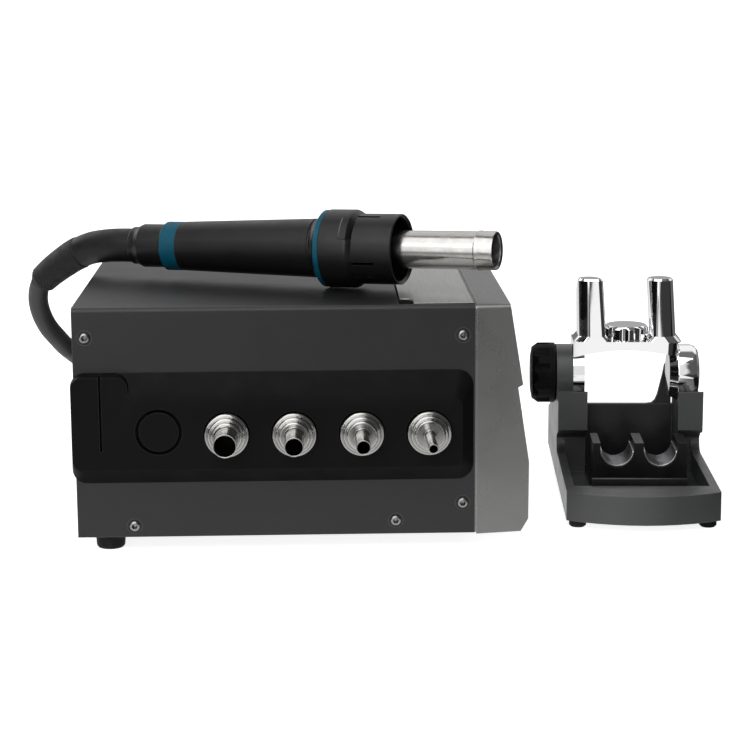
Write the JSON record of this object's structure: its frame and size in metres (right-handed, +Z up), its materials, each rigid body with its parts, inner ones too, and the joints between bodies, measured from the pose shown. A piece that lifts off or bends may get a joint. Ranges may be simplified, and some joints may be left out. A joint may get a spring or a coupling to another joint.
{
  "type": "hot air rework station",
  "caption": "Hot air rework station: a metal case with a nozzle rack on its side, a hot air handpiece on a hose and a cast stand with a tilting fork cradle.",
  "frame": {"origin": "centre of the bottom of the overall box of the case, the handpiece and the stand, on the table, measured without the hose", "axes": "+X towards the case's front and the stand, +Y away from the nozzle rack's side, +Z up"},
  "size_m": [0.4193, 0.387, 0.1829],
  "materials": {
    "cover_paint": "fine satin powder coat, near-black grey",
    "bezel_plastic": "satin grey moulding",
    "panel_gloss": "gloss black panel",
    "window_smoke": "smoked window",
    "board_green": "coated circuit board",
    "button_grey": "soft grey caps",
    "black_plastic": "fine black moulding",
    "rack_plastic": "satin black moulding",
    "nozzle_steel": "turned stainless steel",
    "screw_steel": "zinc-plated steel",
    "foot_rubber": "matte black rubber",
    "plate_brushed": "brushed along its length",
    "inner_metal": "plain metal",
    "teal_plastic": "satin teal",
    "tube_steel": "polished stainless tube",
    "ceramic": "pale ceramic",
    "shadow_black": "dull black moulding",
    "hose_silicone": "soft black silicone",
    "stand_paint": "satin dark grey coat on a casting",
    "chrome": "mirror chrome plating"
  },
  "bodies": {
    "station": {"chassis_base": "cover_paint", "top_cover": "cover_paint", "rear_panel": "cover_paint", "front_bezel": "bezel_plastic", "front_panel": "panel_gloss", "display_window": "window_smoke", "display_module": "board_green", "control_board": "board_green", "switch_frame": "black_plastic", "nozzle_rack": "rack_plastic", "cover_screws": "screw_steel", "case_feet": "foot_rubber", "foot_screws": "screw_steel", "plate_carrier": "shadow_black", "top_plate": "plate_brushed", "mains_inlet": "black_plastic", "fuse_holder": "black_plastic", "power_board": "board_green", "heat_sink": "inner_metal", "main_board": "board_green", "blower_housing": "black_plastic", "blower_motor": "inner_metal", "air_duct": "black_plastic", "hose_gland": "black_plastic", "hose_lead": "hose_silicone", "hose_coil": "hose_silicone", "hose_rise": "hose_silicone"},
    "handpiece": {"handle_body": "black_plastic", "handle_rear_cap": "black_plastic", "rear_band": "teal_plastic", "front_ring": "teal_plastic", "guard_collar": "black_plastic", "heater_tube": "tube_steel", "tube_liner": "ceramic", "heater_core": "ceramic", "hose_boot": "hose_silicone"},
    "blower_rotor": {"blower_impeller": "black_plastic"},
    "rocker": {"power_rocker": "panel_gloss"},
    "stand": {"stand_base": "stand_paint", "stand_feet": "foot_rubber", "nozzle_rest": "black_plastic", "rest_saddles": "chrome"},
    "cradle": {"cradle_yoke": "chrome", "cradle_cap": "chrome"},
    "knob": {"clamp_knob": "black_plastic", "clamp_stud": "screw_steel"},
    "nozzle_1": {"nozzle_1": "nozzle_steel"},
    "nozzle_2": {"nozzle_2": "nozzle_steel"},
    "nozzle_3": {"nozzle_3": "nozzle_steel"},
    "nozzle_4": {"nozzle_4": "nozzle_steel"},
    "temp_up": {"temp_up_button": "button_grey"},
    "temp_down": {"temp_down_button": "button_grey"},
    "air_up": {"air_up_button": "button_grey"},
    "air_down": {"air_down_button": "button_grey"},
    "preset_1": {"preset_1_button": "button_grey"},
    "preset_2": {"preset_2_button": "button_grey"},
    "preset_3": {"preset_3_button": "button_grey"}
  },
  "joints": [
    {"name": "handpiece_lift", "type": "slide", "parent": "station", "child": "handpiece", "axis": [0, 0, 1], "range_m": [0, 0.08]},
    {"name": "stand_lift", "type": "slide", "parent": "station", "child": "stand", "axis": [0, 0, 1], "range_m": [0, 0.08]},
    {"name": "cradle_tilt", "type": "hinge", "parent": "stand", "child": "cradle", "pos_m": [0.13896, 0.04112, 0.071], "axis": [0.9982, -0.0593, 0], "range_deg": [-30, 45]},
    {"name": "clamp_knob_turn", "type": "hinge", "parent": "stand", "child": "knob", "pos_m": [0.09469, 0.04375, 0.071], "axis": [0.9982, -0.0593, 0], "range_deg": [0, 180]},
    {"name": "blower_spin", "type": "hinge", "parent": "station", "child": "blower_rotor", "pos_m": [-0.10554, 0.01143, 0.03], "axis": [0, 0, 1], "continuous": true},
    {"name": "power_rocker_swing", "type": "hinge", "parent": "station", "child": "rocker", "pos_m": [0.05736, 0.05143, 0.03275], "axis": [0, 1, 0], "range_deg": [0, 14]},
    {"name": "nozzle_1_pull", "type": "slide", "parent": "station", "child": "nozzle_1", "axis": [0, -1, 0], "range_m": [0, 0.04]},
    {"name": "nozzle_2_pull", "type": "slide", "parent": "station", "child": "nozzle_2", "axis": [0, -1, 0], "range_m": [0, 0.04]},
    {"name": "nozzle_3_pull", "type": "slide", "parent": "station", "child": "nozzle_3", "axis": [0, -1, 0], "range_m": [0, 0.04]},
    {"name": "nozzle_4_pull", "type": "slide", "parent": "station", "child": "nozzle_4", "axis": [0, -1, 0], "range_m": [0, 0.04]},
    {"name": "temp_up_press", "type": "slide", "parent": "station", "child": "temp_up", "axis": [-0.989, 0, -0.148], "range_m": [0, 0.001], "stiffness_N_per_m": 400},
    {"name": "temp_down_press", "type": "slide", "parent": "station", "child": "temp_down", "axis": [-0.989, 0, -0.148], "range_m": [0, 0.001], "stiffness_N_per_m": 400},
    {"name": "air_up_press", "type": "slide", "parent": "station", "child": "air_up", "axis": [-0.989, 0, -0.148], "range_m": [0, 0.001], "stiffness_N_per_m": 400},
    {"name": "air_down_press", "type": "slide", "parent": "station", "child": "air_down", "axis": [-0.989, 0, -0.148], "range_m": [0, 0.001], "stiffness_N_per_m": 400},
    {"name": "preset_1_press", "type": "slide", "parent": "station", "child": "preset_1", "axis": [-0.989, 0, -0.148], "range_m": [0, 0.001], "stiffness_N_per_m": 400},
    {"name": "preset_2_press", "type": "slide", "parent": "station", "child": "preset_2", "axis": [-0.989, 0, -0.148], "range_m": [0, 0.001], "stiffness_N_per_m": 400},
    {"name": "preset_3_press", "type": "slide", "parent": "station", "child": "preset_3", "axis": [-0.989, 0, -0.148], "range_m": [0, 0.001], "stiffness_N_per_m": 400}
  ]
}
